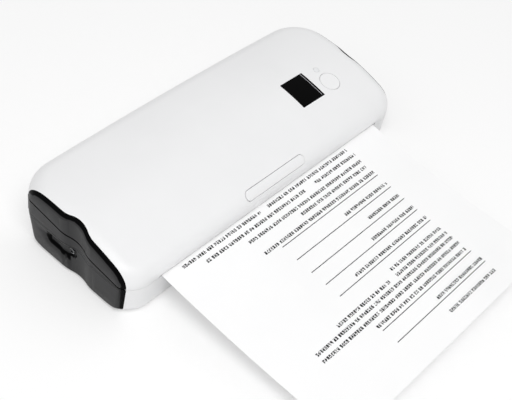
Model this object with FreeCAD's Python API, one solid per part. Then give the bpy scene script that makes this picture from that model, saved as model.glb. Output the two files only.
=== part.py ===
import FreeCAD, Part
import math
import os

# An A4 portable thermal printer: a soft soap-bar body whose lid is hinged along the back.
# X runs along the length, the paper leaves towards -Y, and Z is up from the table.

# Sizes of the body
body_length = 264.0
half_length = body_length / 2
body_depth = 104.0
body_height = 50.5
parting_height = 22.9
foot_height = 1.2
wall = 2.2
front_corner = 20.0
back_corner = 28.0
end_run_on = 3.0
top_round = 13.0
crown_radius = 167.0
crown_peak_y = 20.0
bow_radius = 3000.0
bow_margin = 15.0
bottom_round = 4.5
front_draft = 0.5
back_draft = 4.0
end_draft = 0.8
lid_gap = 0.3
overrun = 20.0

# Sizes of the black end caps and of the finger groove that runs up each end
cap_depth = 3.0
cap_bevel = 0.8
groove_y_low = -8.0
groove_y_high = -3.0
groove_half_width = 14.0
groove_depth_low = 2.1
groove_depth_high = 2.9
end_wall = 2.0

# Sizes of the hinge along the back
hinge_y = 47.4
hinge_drop = 0.2
barrel_radius = 4.4
barrel_inset = 10.0
barrel_half = half_length - barrel_inset
hinge_pin_radius = 1.5
pin_clearance = 0.05
lug_radius = 3.0
lug_inset = 35.0
lug_inner = half_length - lug_inset
lug_width = 5.0
lug_gap = 0.4
lug_arm = 0.4
pin_reach = 9.0
pin_window = 24.0
hinge_relief = 4.9

# Sizes of the paper, its roll and its way out
paper_margin = 27.0
paper_width = body_length - 2 * paper_margin
paper_half = paper_width / 2
paper_thickness = 0.12
roll_radius = 18.5
roll_y = 20.0
roll_z = 24.6
core_radius = 8.0
core_wall = 1.5
stub_radius = 4.0
flange_radius = 14.0
flange_thickness = 1.5
seat_clearance = 0.1
sheet_gap = 0.15
sheet_fall = 8.2
sheet_bend = 60.0
sheet_curl = 900.0
sheet_level = -1.0
slot_room = 2.5
slot_half = paper_half + slot_room
slot_rise = 1.2
slot_sink = 1.0

# Sizes of the platen, its gears and its motor
platen_radius = 6.5
platen_y = -36.0
platen_sink = 0.3
shaft_radius = 2.5
rubber_room = 1.5
rubber_half = paper_half + rubber_room
gear_module = 0.6
platen_teeth = 30
idler_teeth = 24
pinion_teeth = 12
gear_width = 5.0
gear_room = 5.4
gear_side = paper_half + gear_room
gear_backlash = 0.08
pressure_angle = 20.0
addendum_share = 0.95
dedendum_share = 1.2
quarter_turns = 4
idler_drop = 3.5
pinion_drop = 0.5
stud_radius = 1.5
motor_radius = 8.5
motor_length = 22.0
motor_shaft_radius = 1.0
plate_room = 3.6
plate_inner = paper_half + plate_room
plate_thickness = 1.2
bush_radius = 4.0
running = 0.05


# Points, directions and plain solids

def V(x, y, z):
    return FreeCAD.Vector(x, y, z)


def box(x0, x1, y0, y1, z0, z1):
    return Part.makeBox(x1 - x0, y1 - y0, z1 - z0, V(x0, y0, z0))


def rod_x(radius, x0, x1, y, z):
    return Part.makeCylinder(radius, x1 - x0, V(x0, y, z), V(1, 0, 0))


def rod_z(radius, z0, z1, x, y):
    return Part.makeCylinder(radius, z1 - z0, V(x, y, z0), V(0, 0, 1))


def arc_edge(cx, cy, z, radius, start, end):
    return Part.makeCircle(radius, V(cx, cy, z), V(0, 0, 1), start, end)


def both_sides(shape):
    return shape, shape.mirror(V(0, 0, 0), V(1, 0, 0))


def joined(shapes):
    whole = shapes[0]
    for other in shapes[1:]:
        whole = whole.fuse(other)
    return whole.removeSplitter()


def cut_all(shape, tools):
    for tool in tools:
        shape = shape.cut(tool)
    return shape


def write(shape, name):
    solids = shape.Solids
    part = solids[0] if len(solids) == 1 else Part.Compound(solids)
    part.exportStep("parts/" + name + ".step")
    print(name, len(solids), round(part.Volume, 1), part.isValid())


# The outer form: a plan with rounded corners under a crowned top

half_depth = body_depth / 2
form_half = half_length + end_run_on
bow_reach = form_half + bow_margin


def plan_wire(z, inset, front_in, back_in, end_in):
    x = form_half - inset - end_in
    y0 = -half_depth + inset + front_in
    y1 = half_depth - inset - back_in
    rf = front_corner - inset
    rb = back_corner - inset
    edges = [
        Part.makeLine(V(-x + rf, y0, z), V(x - rf, y0, z)),
        arc_edge(x - rf, y0 + rf, z, rf, 270, 360),
        Part.makeLine(V(x, y0 + rf, z), V(x, y1 - rb, z)),
        arc_edge(x - rb, y1 - rb, z, rb, 0, 90),
        Part.makeLine(V(x - rb, y1, z), V(-x + rb, y1, z)),
        arc_edge(-x + rb, y1 - rb, z, rb, 90, 180),
        Part.makeLine(V(-x, y1 - rb, z), V(-x, y0 + rf, z)),
        arc_edge(-x + rf, y0 + rf, z, rf, 180, 270),
    ]
    return Part.Wire(edges)


def crown_height(y):
    return body_height - crown_radius + math.sqrt(crown_radius ** 2 - (y - crown_peak_y) ** 2)


def crown_solid(inset):
    reach = half_depth + overrun
    radius = crown_radius - inset
    centre_z = body_height - crown_radius

    def on_arc(y):
        return V(0, y, centre_z + math.sqrt(radius ** 2 - (y - crown_peak_y) ** 2))

    low = -overrun
    top = Part.Arc(on_arc(-reach), on_arc(crown_peak_y), on_arc(reach)).toShape()
    outline = Part.Wire([
        top,
        Part.makeLine(on_arc(reach), V(0, reach, low)),
        Part.makeLine(V(0, reach, low), V(0, -reach, low)),
        Part.makeLine(V(0, -reach, low), on_arc(-reach)),
    ])
    face = Part.Face(outline)
    pivot = V(0, 0, body_height - bow_radius)
    half_turn = math.degrees(math.asin(bow_reach / bow_radius))
    face.rotate(pivot, V(0, 1, 0), -half_turn)
    return face.revolve(pivot, V(0, 1, 0), 2 * half_turn)


def lid_form(inset, low):
    block = Part.Face(plan_wire(low, inset, 0, 0, 0)).extrude(V(0, 0, body_height + overrun - low))
    body = block.common(crown_solid(inset))
    top = max(body.Faces, key=lambda face: face.CenterOfMass.z)
    return body.makeFillet(top_round - inset, top.Edges)


def base_form(inset, low, high):
    drop = parting_height - foot_height

    def ring(z):
        share = (parting_height - z) / drop
        return plan_wire(z, inset, front_draft * share, back_draft * share, end_draft * share)

    form = Part.makeLoft([ring(low), ring(high)], True, True)
    bottom_loop = [edge for edge in form.Edges if edge.BoundBox.ZMax < low + lid_gap]
    return form.makeFillet(bottom_round - inset, bottom_loop)


# The wavy end faces: a straight end with one finger groove, deeper towards the top

def wave_edges(x_end, depth, middle, z):
    half = groove_half_width
    radius = (half ** 2 + depth ** 2) / (4 * depth)
    turn = math.asin(half / (2 * radius)) / 2
    slip = radius * (1 - math.cos(turn))
    run = radius * math.sin(turn)
    reach = half_depth + overrun
    start = V(x_end, middle - half, z)
    inner_a = V(x_end + depth / 2, middle - half / 2, z)
    inner_b = V(x_end + depth / 2, middle + half / 2, z)
    end = V(x_end, middle + half, z)
    return [
        Part.makeLine(V(x_end, -reach, z), start),
        Part.Arc(start, V(x_end + slip, middle - half + run, z), inner_a).toShape(),
        Part.Arc(inner_a, V(x_end + depth, middle, z), inner_b).toShape(),
        Part.Arc(inner_b, V(x_end + slip, middle + half - run, z), end).toShape(),
        Part.makeLine(end, V(x_end, reach, z)),
    ]


def end_block(shift):
    x_end = -half_length + shift
    x_far = -form_half - overrun
    reach = half_depth + overrun

    def ring(depth, middle, z):
        edges = wave_edges(x_end, depth, middle, z)
        edges.append(Part.makeLine(V(x_end, reach, z), V(x_far, reach, z)))
        edges.append(Part.makeLine(V(x_far, reach, z), V(x_far, -reach, z)))
        edges.append(Part.makeLine(V(x_far, -reach, z), V(x_end, -reach, z)))
        return Part.Wire(edges)

    low = ring(groove_depth_low, groove_y_low, 0)
    high = ring(groove_depth_high, groove_y_high, body_height)
    return Part.makeLoft([low, high], True, True)


trim_left, trim_right = both_sides(end_block(0))
split_left, split_right = both_sides(end_block(cap_depth))

lid_low = parting_height + lid_gap / 2
base_high = parting_height - lid_gap / 2
floor_top = foot_height + wall
cavity_left, cavity_right = both_sides(end_block(cap_depth + end_wall))

lid_outer = lid_form(0, lid_low)
lid_inner = lid_form(wall, parting_height - lid_gap)
base_outer = base_form(0, foot_height, base_high)
lid_cavity = cut_all(lid_inner, [cavity_left, cavity_right])
base_cavity = cut_all(base_form(wall, floor_top, parting_height + lid_gap), [cavity_left, cavity_right])


# Places worked out from the sizes above

hinge_z = lid_low + hinge_drop / 2
bush_bore = shaft_radius + running
platen_z = parting_height - platen_sink - platen_radius
web_half = paper_thickness / 2
web_z = platen_z + platen_radius + sheet_gap + web_half
gear_pitch = gear_module * math.pi
gear_end = gear_side + gear_width
plate_outer = plate_inner + plate_thickness
platen_pitch = gear_module * platen_teeth / 2
idler_pitch = gear_module * idler_teeth / 2
pinion_pitch = gear_module * pinion_teeth / 2
idler_z = platen_z - idler_drop
idler_y = platen_y + math.sqrt((platen_pitch + idler_pitch) ** 2 - idler_drop ** 2)
pinion_z = idler_z - pinion_drop
pinion_y = idler_y + math.sqrt((idler_pitch + pinion_pitch) ** 2 - pinion_drop ** 2)


# Gears with involute teeth

def gear(teeth, x0, width, y, z, bore, turn):
    pitch_r = gear_module * teeth / 2
    base_r = pitch_r * math.cos(math.radians(pressure_angle))
    tip_r = pitch_r + gear_module * addendum_share
    root_r = pitch_r - gear_module * dedendum_share
    inv_pitch = math.tan(math.radians(pressure_angle)) - math.radians(pressure_angle)
    half_tooth = math.pi / (2 * teeth) - gear_backlash / (2 * pitch_r)

    def half_angle(radius):
        if radius <= base_r:
            return half_tooth + inv_pitch
        roll = math.acos(base_r / radius)
        return half_tooth + inv_pitch - (math.tan(roll) - roll)

    def on_flank(radius, middle, side):
        angle = middle + side * half_angle(radius)
        return V(0, radius * math.cos(angle), radius * math.sin(angle))

    low_r = max(root_r, base_r)
    edges = []
    for tooth in range(teeth):
        middle = turn + tooth * 2 * math.pi / teeth
        following = middle + 2 * math.pi / teeth
        root_a = on_flank(low_r, middle, -1)
        tip_a = on_flank(tip_r, middle, -1)
        tip_b = on_flank(tip_r, middle, 1)
        root_b = on_flank(low_r, middle, 1)
        next_a = on_flank(low_r, following, -1)
        mid_r = (low_r + tip_r) / 2
        between = middle + math.pi / teeth
        foot = V(0, root_r * math.cos(between), root_r * math.sin(between))
        edges.append(Part.Arc(root_a, on_flank(mid_r, middle, -1), tip_a).toShape())
        edges.append(Part.makeLine(tip_a, tip_b))
        edges.append(Part.Arc(tip_b, on_flank(mid_r, middle, 1), root_b).toShape())
        edges.append(Part.Arc(root_b, foot, next_a).toShape())
    blank = Part.Face(Part.Wire(edges)).extrude(V(width, 0, 0))
    blank.translate(V(x0, y, z))
    return blank.cut(rod_x(bore, x0 - overrun, x0 + width + overrun, y, z))


def bearing(from_y, from_z, to_y, to_z):
    return math.atan2(to_z - from_z, to_y - from_y)


def mesh_turn(turn, teeth, way, other_teeth):
    share = (way - turn) / (2 * math.pi / teeth)
    return way + math.pi + (share + 1 / 2) * 2 * math.pi / other_teeth


# Coil springs along Z, wound by quarter turns

def coil(radius, wire, turns, x, y, z0, z1):
    steps = turns * quarter_turns
    low = z0 + wire
    rise = (z1 - z0 - 2 * wire) / steps

    def on_helix(step):
        angle = step * math.pi / 2
        return V(x + radius * math.cos(angle), y + radius * math.sin(angle), low + rise * step)

    arcs = []
    for step in range(steps):
        arcs.append(Part.Arc(on_helix(step), on_helix(step + 1 / 2), on_helix(step + 1)).toShape())
    path = Part.Wire(arcs)
    ring = Part.Wire([Part.makeCircle(wire, on_helix(0), arcs[0].tangentAt(0))])
    return path.makePipeShell([ring], True, False)


# The base shell: a tray with a floor, hinge lugs, catch ledges and screw bosses

slot_depth = 5.0
catch_inset = 16.0
catch_inner = half_length - catch_inset
catch_width = 3.0
catch_tip = -47.3
catch_z = 20.2
catch_height = 1.0
rib_height = 3.0
rib_thickness = 1.5
foot_radius = 5.0
foot_sink = 0.8
foot_inset = 26.0
foot_x = half_length - foot_inset
foot_y = 36.0
foot_places = [(x, y) for x in (-foot_x, foot_x) for y in (-foot_y, foot_y)]
foot_places.append((0, 0))
screw_radius = 1.1
screw_head_radius = 2.2
screw_head = 1.3
tray_post_inset = 35.0
tray_post_x = half_length - tray_post_inset
tray_post_front = -22.0
tray_post_back = 36.0
tray_posts = [(x, y) for x in (-tray_post_x, tray_post_x) for y in (tray_post_front, tray_post_back)]
post_radius = 2.5
board_z = floor_top + rib_thickness
board_post_inset = 54.0
board_x = half_length - board_post_inset
board_front = -45.0
board_back = -30.0
board_posts = [(x, y) for x in (-board_x, board_x) for y in (board_front, board_back)]
battery_inset = 46.0
battery_x0 = battery_inset - half_length
battery_x1 = 24.0
battery_y0 = -25.0
battery_y1 = -4.0
battery_z1 = 17.5
battery_round = 3.0
peg_radius = 1.5
peg_low_z = 9.0
peg_high_z = 30.0
peg_front = -27.0
peg_back = 27.0
peg_reach = 4.0
hinge_end = barrel_half + lug_gap
usb_post_inset = 16.0
usb_post_front = -3.5
usb_post_back = 10.5
usb_post_radius = 1.8
tear_ledge = 1.6


def lug(x0):
    x1 = x0 + lug_width
    arm_front = hinge_y - lug_radius
    low = floor_top + wall
    knuckle = rod_x(lug_radius, x0, x1, hinge_y, hinge_z)
    arm = box(x0, x1, arm_front, hinge_y + lug_arm, low, hinge_z)
    rib = box(x0, x1, arm_front, half_depth - back_draft, low, hinge_z - hinge_relief)
    return joined([knuckle, arm, rib])


def battery_ribs():
    x0, x1 = battery_x0 - rib_thickness, battery_x1 + rib_thickness
    y0, y1 = battery_y0 - rib_thickness, battery_y1 + rib_thickness
    return [(x0, x1, y0, battery_y0), (x0, battery_x0, y0, y1), (battery_x1, x1, y0, y1)]


def peg_holes(z):
    holes = []
    for y in (peg_front, peg_back):
        holes.append(rod_x(peg_radius, -half_length, -half_length + cap_depth + peg_reach, y, z))
    return Part.Compound(holes)


def base_shell():
    body = base_outer.cut(split_left).cut(split_right).cut(base_cavity)
    body = body.cut(box(-hinge_end, hinge_end, hinge_y - lug_radius - wall, half_depth + overrun,
                        hinge_z - hinge_relief, parting_height + overrun))
    body = body.cut(box(-slot_half, slot_half, -half_depth - overrun, -half_depth + slot_depth,
                        parting_height - slot_sink, parting_height + overrun))
    pieces = [body]
    for x0 in (lug_inner, -lug_inner - lug_width):
        pieces.append(lug(x0))
    for x0 in (catch_inner, -catch_inner - catch_width):
        ledge = box(x0, x0 + catch_width, -half_depth, catch_tip, catch_z, catch_z + catch_height)
        pieces.append(ledge.common(base_outer))
    for x, y in board_posts:
        pieces.append(rod_z(post_radius, foot_height + wall / 2, board_z, x, y))
    for y in (usb_post_front, usb_post_back):
        pieces.append(rod_z(usb_post_radius, foot_height + wall / 2, usb_z - usb_half_height - usb_board_thickness,
                            -half_length + usb_post_inset, y))
    pieces.append(box(-tear_half, tear_half, -half_depth + wall / 2, tear_back,
                      parting_height - slot_sink - tear_ledge, parting_height - slot_sink))
    for x0, x1, y0, y1 in battery_ribs():
        pieces.append(box(x0, x1, y0, y1, foot_height + wall / 2, floor_top + rib_height))
    body = joined(pieces)
    for x0 in (lug_inner, -lug_inner - lug_width):
        body = body.cut(rod_x(hinge_pin_radius, x0 - overrun, x0 + lug_width + overrun, hinge_y, hinge_z))
    for x, y in foot_places:
        body = body.cut(rod_z(foot_radius, 0, foot_height + foot_sink, x, y))
    for x, y in board_posts:
        body = body.cut(rod_z(screw_radius, floor_top, board_z, x, y))
    for x, y in tray_posts:
        body = body.cut(rod_z(screw_head_radius, 0, foot_height + screw_head, x, y))
        body = body.cut(rod_z(screw_radius, 0, floor_top + wall, x, y))
    for holes in both_sides(peg_holes(peg_low_z)):
        body = body.cut(holes)
    return body.cut(usb_body(0))


def rubber_feet():
    return Part.Compound([rod_z(foot_radius, 0, foot_height + foot_sink, x, y) for x, y in foot_places])


def base_screws():
    screws = []
    for x, y in tray_posts:
        top = foot_height + screw_head
        head = rod_z(screw_head_radius, foot_height + foot_sink / 2, top, x, y)
        shank = rod_z(screw_radius, top, floor_top + screw_length, x, y)
        slot = box(x - screw_radius, x + screw_radius, y - foot_sink / 4, y + foot_sink / 4,
                   foot_height, foot_height + foot_sink)
        screws.append(head.fuse(shank).removeSplitter().cut(slot))
    return Part.Compound(screws)


# The black end caps: a bevelled wavy plate on pegs, with a USB recess in the left one

screw_length = 6.0
usb_y = 2.7
usb_z = 18.4
usb_half_width = 4.5
usb_half_height = 1.6
usb_length = 8.0
usb_wall = 0.3
usb_tongue = 0.4
recess_y0 = -4.0
recess_y1 = 18.0
recess_z0 = 15.2
recess_z1 = 21.6
recess_depth = 1.2
recess_corner = 2.0
usb_sink = 2.2
usb_face_x = -half_length + usb_sink
usb_board_inset = 8.9
usb_board_length = 11.0
usb_board_y0 = -6.0
usb_board_y1 = 13.0
usb_board_thickness = 1.2
usb_board_x0 = -half_length + usb_board_inset


def rounded_slab(x0, x1, y0, y1, z0, z1, corner):
    slab = box(x0, x1, y0, y1, z0, z1)
    along = [edge for edge in slab.Edges if edge.BoundBox.XLength > (x1 - x0) / 2]
    return slab.makeFillet(corner - running, along)


def usb_body(grow):
    return rounded_slab(usb_face_x, usb_face_x + usb_length, usb_y - usb_half_width - grow,
                        usb_y + usb_half_width + grow, usb_z - usb_half_height - grow,
                        usb_z + usb_half_height + grow, usb_half_height)


def usb_socket():
    shell = usb_body(0)
    mouth = rounded_slab(usb_face_x - overrun, usb_face_x + usb_length - 2 * usb_wall,
                         usb_y - usb_half_width + usb_wall, usb_y + usb_half_width - usb_wall,
                         usb_z - usb_half_height + usb_wall, usb_z + usb_half_height - usb_wall,
                         usb_half_height - usb_wall)
    tongue = box(usb_face_x + 2 * usb_wall, usb_face_x + usb_length - usb_wall,
                 usb_y - usb_half_width / 2, usb_y + usb_half_width / 2,
                 usb_z - usb_tongue, usb_z + usb_tongue)
    return shell.cut(mouth).fuse(tongue)


def outline_edges(shape, tool):
    outer = []
    for face in shape.Faces:
        points = [vertex.Point for vertex in face.Vertexes] + [face.CenterOfMass]
        if max(Part.Vertex(point).distToShape(tool)[0] for point in points) < lid_gap:
            outer.append(face)
    seen = {}
    for face in outer:
        for edge in face.Edges:
            seen.setdefault(edge.hashCode(), []).append(edge)
    return [found[0] for found in seen.values() if len(found) == 1]


def cap(form, parting):
    plate = form.common(split_left).cut(trim_left)
    rim = [edge for edge in outline_edges(plate, trim_left)
           if max(abs(vertex.Z - parting) for vertex in edge.Vertexes) > lid_gap / 10]
    return plate.makeChamfer(cap_bevel, rim)


def pegs(z):
    reach = half_length - cap_depth / 2
    return [rod_x(peg_radius, -reach, -half_length + cap_depth + peg_reach, y, z)
            for y in (peg_front, peg_back)]


def base_caps():
    plain = joined([cap(base_outer, base_high)] + pegs(peg_low_z))
    right = plain.mirror(V(0, 0, 0), V(1, 0, 0))
    recess = rounded_slab(-half_length - overrun, usb_face_x + overrun, recess_y0, recess_y1,
                          recess_z0, recess_z1, recess_corner).common(end_block(recess_depth))
    return plain.cut(recess).cut(usb_body(0)), right


def lid_caps():
    return both_sides(joined([cap(lid_outer, lid_low)] + pegs(peg_high_z)))


# The paper tray: a trough for the roll, a deck towards the platen and end walls with cradles

tray_room = 3.2
tray_half = paper_half + tray_room
tray_wall = 1.6
trough_inner = 19.4
trough_outer = 21.0
deck_front = -27.8
deck_height = 22.3
ear_half = 8.0
ear_top = 27.0
post_outer = 3.5
motor_room = 0.6


def paper_tray():
    trough = rod_x(trough_outer, -tray_half, tray_half, roll_y, roll_z)
    trough = trough.common(box(-tray_half, tray_half, roll_y - trough_outer, roll_y + trough_outer,
                               floor_top, deck_height))
    deck = box(-tray_half, tray_half, deck_front, roll_y - trough_inner, deck_height - tray_wall, deck_height)
    inner = tray_half - tray_wall
    pieces = [trough, deck]
    for x0, x1 in ((-tray_half, -inner), (inner, tray_half)):
        pieces.append(box(x0, x1, deck_front, roll_y + trough_outer, floor_top, deck_height))
        pieces.append(box(x0, x1, roll_y - ear_half, roll_y + ear_half, floor_top, ear_top))
    for x, y in tray_posts:
        pieces.append(rod_z(post_outer, floor_top, deck_height - tray_wall, x, y).cut(
            rod_x(trough_inner, -tray_half, tray_half, roll_y, roll_z)))
    tray = joined(pieces)
    tray = tray.cut(rod_x(trough_inner, -inner, inner, roll_y, roll_z))
    journal = stub_radius + seat_clearance
    tray = tray.cut(rod_x(journal, -tray_half - overrun, tray_half + overrun, roll_y, roll_z))
    tray = tray.cut(box(-tray_half - overrun, tray_half + overrun, roll_y - journal, roll_y + journal,
                        roll_z, ear_top + overrun))
    tray = tray.cut(rod_x(motor_radius + motor_room, 0, tray_half + overrun, pinion_y, pinion_z).common(
        box(tray_half - wall, tray_half + overrun, deck_front, roll_y, 0, parting_height)))
    for x, y in tray_posts:
        tray = tray.cut(rod_z(screw_radius, 0, floor_top + screw_length, x, y))
    return tray


# The roll of paper on its cardboard core and the two holders that carry it

holder_plug = 5.0
stub_room = 3.3
stub_end = paper_half + stub_room


def paper_roll():
    return rod_x(roll_radius, -paper_half, paper_half, roll_y, roll_z).cut(
        rod_x(core_radius, -paper_half - overrun, paper_half + overrun, roll_y, roll_z))


def roll_core():
    return rod_x(core_radius, -paper_half, paper_half, roll_y, roll_z).cut(
        rod_x(core_radius - core_wall, -paper_half - overrun, paper_half + overrun, roll_y, roll_z))


def roll_holders():
    plug = rod_x(core_radius - core_wall, paper_half - holder_plug, paper_half, roll_y, roll_z)
    flange = rod_x(flange_radius, paper_half, paper_half + flange_thickness / 2, roll_y, roll_z)
    stub = rod_x(stub_radius, paper_half, stub_end, roll_y, roll_z)
    bore = rod_x(stub_radius - core_wall, 0, half_length, roll_y, roll_z)
    holder = joined([plug, flange, stub]).cut(bore)
    return Part.Compound(list(both_sides(holder)))


# The printed sheet: off the roll, under the guide roller, over the platen and out above the table

guide_y = -23.0
guide_radius = 2.5
web_gap = 0.3
guide_z = web_z + web_half + web_gap + guide_radius
bend_start = -47.0


def on_circle(cy, cz, radius, degrees):
    angle = math.radians(degrees)
    return V(0, cy + radius * math.cos(angle), cz + radius * math.sin(angle))


def sheet_line():
    around_roll = roll_radius + web_gap + web_half
    around_guide = guide_radius + web_gap + web_half
    dy, dz = guide_y - roll_y, guide_z - roll_z
    way = math.degrees(math.atan2(dz, dy))
    lean = math.degrees(math.acos((around_roll + around_guide) / math.hypot(dy, dz)))
    leave = way - lean
    start = leave - wrap_degrees
    meet = leave + 180
    roll_a = on_circle(roll_y, roll_z, around_roll, start)
    roll_m = on_circle(roll_y, roll_z, around_roll, (start + leave) / 2)
    roll_b = on_circle(roll_y, roll_z, around_roll, leave)
    guide_a = on_circle(guide_y, guide_z, around_guide, meet)
    guide_m = on_circle(guide_y, guide_z, around_guide, (meet + 270) / 2)
    guide_b = on_circle(guide_y, guide_z, around_guide, 270)
    flat_end = V(0, bend_start, web_z)
    bend_m = on_circle(bend_start, web_z - sheet_bend, sheet_bend, 90 + sheet_fall / 2)
    bend_end = on_circle(bend_start, web_z - sheet_bend, sheet_bend, 90 + sheet_fall)
    lean_back = math.radians(sheet_fall)
    curl_y = bend_end.y - sheet_curl * math.sin(lean_back)
    curl_z = bend_end.z + sheet_curl * math.cos(lean_back)
    curl_m = on_circle(curl_y, curl_z, sheet_curl, 270 + (sheet_fall + sheet_level) / 2)
    far = on_circle(curl_y, curl_z, sheet_curl, 270 + sheet_level)
    return [
        Part.Arc(roll_a, roll_m, roll_b).toShape(),
        Part.makeLine(roll_b, guide_a),
        Part.Arc(guide_a, guide_m, guide_b).toShape(),
        Part.makeLine(guide_b, flat_end),
        Part.Arc(flat_end, bend_m, bend_end).toShape(),
        Part.Arc(bend_end, curl_m, far).toShape(),
    ]


wrap_degrees = 60.0


def paper_sheet():
    path = Part.Wire(sheet_line())
    first = path.Edges[0]
    start = first.valueAt(first.FirstParameter)
    out = V(0, start.y - roll_y, start.z - roll_z).normalize()
    width = V(paper_width, 0, 0)
    corner = start - out * web_half + V(-paper_half, 0, 0)
    far_corner = start + out * web_half + V(-paper_half, 0, 0)
    profile = Part.Wire([
        Part.makeLine(corner, far_corner),
        Part.makeLine(far_corner, far_corner + width),
        Part.makeLine(far_corner + width, corner + width),
        Part.makeLine(corner + width, corner),
    ])
    return path.makePipeShell([profile], True, False)


# The platen with its shaft, bushes and gear, and the plates that hold it

plate_front = -46.0
plate_back = -1.0
plate_top = 22.0
bracket_back = -27.0
bush_flange = 5.0
bush_rim = 1.0
bush_room = 2.4
bush_inner = paper_half + bush_room
bush_end_room = 4.9
bush_outer = paper_half + bush_end_room
shaft_left_inset = 19.0
shaft_left = shaft_left_inset - half_length
shaft_right_inset = 16.0
shaft_right = half_length - shaft_right_inset


def platen_shaft():
    return rod_x(shaft_radius, shaft_left, shaft_right, platen_y, platen_z)


def platen_rubber():
    return rod_x(platen_radius, -rubber_half, rubber_half, platen_y, platen_z).cut(
        rod_x(shaft_radius, -half_length, half_length, platen_y, platen_z))


def platen_bushes():
    rim = rod_x(bush_flange, bush_inner, plate_inner, platen_y, platen_z)
    sleeve = rod_x(bush_radius, bush_inner, bush_outer, platen_y, platen_z)
    bush = joined([rim, sleeve]).cut(rod_x(bush_bore, 0, half_length, platen_y, platen_z))
    return Part.Compound(list(both_sides(bush)))


def side_plate(back):
    plate = box(plate_inner, plate_outer, plate_front, back, floor_top, plate_top)
    corners = [edge for edge in plate.Edges if edge.BoundBox.XLength > plate_thickness / 2
               and edge.BoundBox.ZMin > plate_top - lid_gap]
    plate = plate.makeFillet(bush_rim * 2, corners)
    return plate.cut(rod_x(bush_radius, 0, half_length, platen_y, platen_z))


def gear_plate():
    plate = side_plate(plate_back)
    plate = plate.cut(rod_x(stud_radius, 0, half_length, idler_y, idler_z))
    return plate.cut(rod_x(motor_boss, 0, half_length, pinion_y, pinion_z))


def left_bracket():
    return side_plate(bracket_back).mirror(V(0, 0, 0), V(1, 0, 0))


motor_boss = 3.0
stud_end = gear_end + 1.2
turn_platen = 0.0
turn_idler = mesh_turn(turn_platen, platen_teeth, bearing(platen_y, platen_z, idler_y, idler_z), idler_teeth)
turn_pinion = mesh_turn(turn_idler, idler_teeth, bearing(idler_y, idler_z, pinion_y, pinion_z), pinion_teeth)


def platen_gear():
    return gear(platen_teeth, gear_side, gear_width, platen_y, platen_z, shaft_radius, turn_platen)


def idler_gear():
    return gear(idler_teeth, gear_side, gear_width, idler_y, idler_z, stud_radius + running, turn_idler)


def idler_stud():
    stud = rod_x(stud_radius, plate_inner, stud_end, idler_y, idler_z)
    return stud.fuse(rod_x(stud_radius + bush_rim, gear_end + lid_gap, stud_end, idler_y, idler_z)).removeSplitter()


def motor_pinion():
    wheel = gear(pinion_teeth, gear_side, gear_width, pinion_y, pinion_z, motor_shaft_radius / 2, turn_pinion)
    shaft = rod_x(motor_shaft_radius, plate_inner - wall + lid_gap, gear_end, pinion_y, pinion_z)
    return joined([wheel, shaft])


def motor():
    can = rod_x(motor_radius, plate_inner - motor_length, plate_inner, pinion_y, pinion_z)
    ends = [edge for edge in can.Edges if edge.BoundBox.XMax < plate_inner - motor_length / 2
            and edge.BoundBox.XLength < lid_gap]
    can = can.makeFillet(bush_rim, ends)
    boss = rod_x(motor_boss, plate_inner - wall, plate_outer, pinion_y, pinion_z)
    bore = rod_x(motor_shaft_radius + running, plate_inner - wall, half_length, pinion_y, pinion_z)
    return joined([can, boss]).cut(bore)


# The serrated tear strip behind the front edge of the base

tear_room = 1.0
tear_half = paper_half + tear_room
tear_front = -49.6
tear_back = -46.6
tear_top = 22.4
tear_thickness = 0.5
tear_teeth = 106
tear_tooth = 1.0


def tear_strip():
    pitch = 2 * tear_half / tear_teeth
    points = [V(-tear_half, tear_back, 0), V(-tear_half, tear_front, 0)]
    for tooth in range(tear_teeth):
        x = -tear_half + tooth * pitch
        points.append(V(x + pitch / 2, tear_front + tear_tooth, 0))
        points.append(V(x + pitch, tear_front, 0))
    points.append(V(tear_half, tear_back, 0))
    points.append(points[0])
    blade = Part.Face(Part.makePolygon(points)).extrude(V(0, 0, tear_thickness))
    blade.translate(V(0, 0, tear_top - tear_thickness))
    return blade


# The main board, its parts, the battery and the small board behind the USB socket

board_thickness = 1.6
board_left_inset = 32.0
board_end_left = board_left_inset - half_length
board_right_inset = 44.0
board_end_right = half_length - board_right_inset
board_edge_front = -48.0
board_edge_back = -28.0
chip_height = 1.4
chip_sizes = [(-70.0, 12.0), (-46.0, 8.0), (-20.0, 14.0), (6.0, 7.0), (30.0, 9.0), (56.0, 6.0)]
chip_y = -38.0
connector_height = 2.4
connector_width = 6.0
connector_places = (-90.0, -32.0, 44.0)


def main_board():
    plate = box(board_end_left, board_end_right, board_edge_front, board_edge_back,
                board_z, board_z + board_thickness)
    for x, y in board_posts:
        plate = plate.cut(rod_z(screw_radius, 0, board_z + overrun, x, y))
    return plate


def board_chips():
    top = board_z + board_thickness
    chips = [box(x - size / 2, x + size / 2, chip_y - size / 4, chip_y + size / 4, top, top + chip_height)
             for x, size in chip_sizes]
    for x in connector_places:
        chips.append(box(x - connector_width, x + connector_width, board_edge_front,
                         board_edge_front + connector_width, top, top + connector_height))
    return Part.Compound(chips)


def board_screws():
    top = board_z + board_thickness
    screws = []
    for x, y in board_posts:
        screws.append(rod_z(screw_head_radius, top, top + screw_head / 2, x, y).fuse(
            rod_z(screw_radius, floor_top, top, x, y)).removeSplitter())
    return Part.Compound(screws)


def battery_pack():
    pack = box(battery_x0, battery_x1, battery_y0, battery_y1, floor_top, battery_z1)
    along = [edge for edge in pack.Edges if edge.BoundBox.XLength > battery_round]
    return pack.makeFillet(battery_round, along)


def usb_board():
    top = usb_z - usb_half_height
    return box(usb_board_x0, usb_board_x0 + usb_board_length, usb_board_y0, usb_board_y1, top - usb_board_thickness, top)


# The tilted frame of the parts under the display: its zero lies on the crown above panel_y

panel_y = -11.0
panel_tilt = math.degrees(math.asin((crown_peak_y - panel_y) / crown_radius))
panel_z = crown_height(panel_y)


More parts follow.
